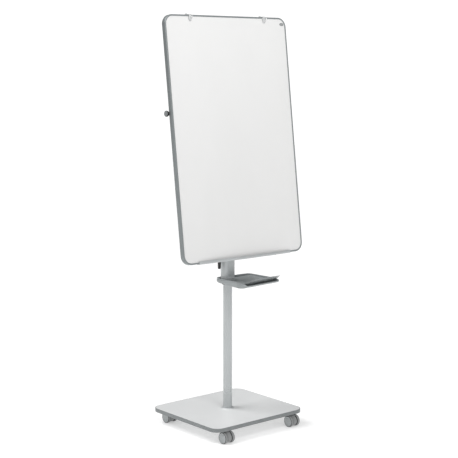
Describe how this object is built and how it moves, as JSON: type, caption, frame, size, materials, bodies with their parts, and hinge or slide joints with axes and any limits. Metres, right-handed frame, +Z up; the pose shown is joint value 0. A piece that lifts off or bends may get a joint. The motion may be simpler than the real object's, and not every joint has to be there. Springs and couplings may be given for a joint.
{
  "type": "flipchart easel",
  "caption": "Mobile flipchart easel: castored base, telescoping column, tilting white board with sliding pad hooks, pen ledge and a swivelling tray.",
  "frame": {"origin": "on the floor, on the axis of the round column", "axes": "+Z up along the column, -Y towards the reader (the board's writing side), +X to the reader's right"},
  "size_m": [0.69, 0.4767, 1.8172],
  "materials": {
    "base_laminate": "light grey melamine, satin",
    "edge_plastic": "grey moulded edge",
    "zinc_steel": "bright zinc",
    "column_paint": "light grey satin powder coat",
    "sleeve_paint": "grey satin powder coat",
    "bearing_plastic": "natural bearing plastic",
    "black_plastic": "black moulded",
    "tray_plastic": "grey fine-grained moulding",
    "cast_aluminium": "cast, satin",
    "frame_aluminium": "grey satin",
    "white_enamel": "glossy white enamel",
    "core_board": "raw board",
    "back_steel": "light grey coated sheet",
    "badge_plastic": "plain dark oval",
    "ledge_aluminium": "light grey satin",
    "clear_plastic": "translucent white",
    "castor_black": "black moulded",
    "castor_grey": "grey moulded"
  },
  "bodies": {
    "base": {"base_plate": "base_laminate", "base_edge_band": "edge_plastic", "foot_spreader_plate": "zinc_steel", "foot_spreader_screws": "zinc_steel", "foot_washer": "zinc_steel", "foot_bolt": "zinc_steel", "column_foot_plug": "zinc_steel", "column_foot_ring": "column_paint", "column_tube": "column_paint", "column_guide_cap": "bearing_plastic", "castor_front_left_stem": "castor_black", "castor_front_right_stem": "castor_black", "castor_rear_left_stem": "castor_black", "castor_rear_right_stem": "castor_black"},
    "carriage": {"upper_tube": "sleeve_paint", "mouth_bush": "tray_plastic", "tray_retaining_ring": "black_plastic", "clamp_boss": "sleeve_paint", "clamp_washer": "zinc_steel", "clamp_shoe": "bearing_plastic", "tilt_head": "cast_aluminium", "head_screws": "zinc_steel", "shaft_nut": "zinc_steel"},
    "clamp": {"clamp_lever": "black_plastic", "clamp_stud": "zinc_steel"},
    "tray": {"tray_base": "tray_plastic", "tray_dish": "tray_plastic", "tray_screws": "zinc_steel"},
    "board": {"board_frame": "frame_aluminium", "writing_sheet": "white_enamel", "board_core": "core_board", "back_sheet": "back_steel", "badge": "badge_plastic", "pen_ledge": "ledge_aluminium", "board_screws": "zinc_steel", "pivot_block": "cast_aluminium", "shaft_support": "cast_aluminium"},
    "tilt_lock": {"tilt_shaft": "zinc_steel", "tilt_knob": "black_plastic", "tilt_knob_cap": "edge_plastic"},
    "left_hook": {"hook_left": "clear_plastic"},
    "right_hook": {"hook_right": "clear_plastic"},
    "castor_front_left": {"castor_front_left_hood": "castor_black", "castor_front_left_axle": "zinc_steel"},
    "castor_front_left_wheel_left": {"castor_front_left_wheel_left": "castor_grey"},
    "castor_front_left_wheel_right": {"castor_front_left_wheel_right": "castor_grey"},
    "castor_front_right": {"castor_front_right_hood": "castor_black", "castor_front_right_axle": "zinc_steel"},
    "castor_front_right_wheel_left": {"castor_front_right_wheel_left": "castor_grey"},
    "castor_front_right_wheel_right": {"castor_front_right_wheel_right": "castor_grey"},
    "castor_rear_left": {"castor_rear_left_hood": "castor_black", "castor_rear_left_axle": "zinc_steel"},
    "castor_rear_left_wheel_left": {"castor_rear_left_wheel_left": "castor_grey"},
    "castor_rear_left_wheel_right": {"castor_rear_left_wheel_right": "castor_grey"},
    "castor_rear_right": {"castor_rear_right_hood": "castor_black", "castor_rear_right_axle": "zinc_steel"},
    "castor_rear_right_wheel_left": {"castor_rear_right_wheel_left": "castor_grey"},
    "castor_rear_right_wheel_right": {"castor_rear_right_wheel_right": "castor_grey"}
  },
  "joints": [
    {"name": "height_slide", "type": "slide", "parent": "base", "child": "carriage", "axis": [0, 0, 1], "range_m": [-0.15, 0.2]},
    {"name": "board_tilt", "type": "hinge", "parent": "carriage", "child": "board", "pos_m": [0, -0.016, 1.4], "axis": [-1, 0, 0], "range_deg": [-7, 23]},
    {"name": "tilt_knob_turn", "type": "hinge", "parent": "board", "child": "tilt_lock", "pos_m": [0, -0.016, 1.4], "axis": [-1, 0, 0], "range_deg": [0, 360]},
    {"name": "clamp_turn", "type": "hinge", "parent": "carriage", "child": "clamp", "pos_m": [-0.047, 0, 0.752], "axis": [-1, 0, 0], "range_deg": [0, 90]},
    {"name": "tray_swivel", "type": "hinge", "parent": "carriage", "child": "tray", "pos_m": [0, 0, 0.655], "axis": [0, 0, 1], "range_deg": [-60, 60]},
    {"name": "left_hook_slide", "type": "slide", "parent": "board", "child": "left_hook", "axis": [1, 0, 0], "range_m": [-0.07, 0.12]},
    {"name": "right_hook_slide", "type": "slide", "parent": "board", "child": "right_hook", "axis": [1, 0, 0], "range_m": [-0.12, 0.07]},
    {"name": "castor_front_left_swivel", "type": "hinge", "parent": "base", "child": "castor_front_left", "pos_m": [-0.19, -0.2007, 0.03], "axis": [0, 0, 1], "continuous": true},
    {"name": "castor_front_left_wheel_left_roll", "type": "hinge", "parent": "castor_front_left", "child": "castor_front_left_wheel_left", "pos_m": [-0.19, -0.2207, 0.025], "axis": [1, 0, 0], "continuous": true},
    {"name": "castor_front_left_wheel_right_roll", "type": "hinge", "parent": "castor_front_left", "child": "castor_front_left_wheel_right", "pos_m": [-0.19, -0.2207, 0.025], "axis": [1, 0, 0], "continuous": true},
    {"name": "castor_front_right_swivel", "type": "hinge", "parent": "base", "child": "castor_front_right", "pos_m": [0.19, -0.2007, 0.03], "axis": [0, 0, 1], "continuous": true},
    {"name": "castor_front_right_wheel_left_roll", "type": "hinge", "parent": "castor_front_right", "child": "castor_front_right_wheel_left", "pos_m": [0.19, -0.2207, 0.025], "axis": [1, 0, 0], "continuous": true},
    {"name": "castor_front_right_wheel_right_roll", "type": "hinge", "parent": "castor_front_right", "child": "castor_front_right_wheel_right", "pos_m": [0.19, -0.2207, 0.025], "axis": [1, 0, 0], "continuous": true},
    {"name": "castor_rear_left_swivel", "type": "hinge", "parent": "base", "child": "castor_rear_left", "pos_m": [-0.19, 0.2007, 0.03], "axis": [0, 0, 1], "continuous": true},
    {"name": "castor_rear_left_wheel_left_roll", "type": "hinge", "parent": "castor_rear_left", "child": "castor_rear_left_wheel_left", "pos_m": [-0.19, 0.1807, 0.025], "axis": [1, 0, 0], "continuous": true},
    {"name": "castor_rear_left_wheel_right_roll", "type": "hinge", "parent": "castor_rear_left", "child": "castor_rear_left_wheel_right", "pos_m": [-0.19, 0.1807, 0.025], "axis": [1, 0, 0], "continuous": true},
    {"name": "castor_rear_right_swivel", "type": "hinge", "parent": "base", "child": "castor_rear_right", "pos_m": [0.19, 0.2007, 0.03], "axis": [0, 0, 1], "continuous": true},
    {"name": "castor_rear_right_wheel_left_roll", "type": "hinge", "parent": "castor_rear_right", "child": "castor_rear_right_wheel_left", "pos_m": [0.19, 0.1807, 0.025], "axis": [1, 0, 0], "continuous": true},
    {"name": "castor_rear_right_wheel_right_roll", "type": "hinge", "parent": "castor_rear_right", "child": "castor_rear_right_wheel_right", "pos_m": [0.19, 0.1807, 0.025], "axis": [1, 0, 0], "continuous": true}
  ]
}
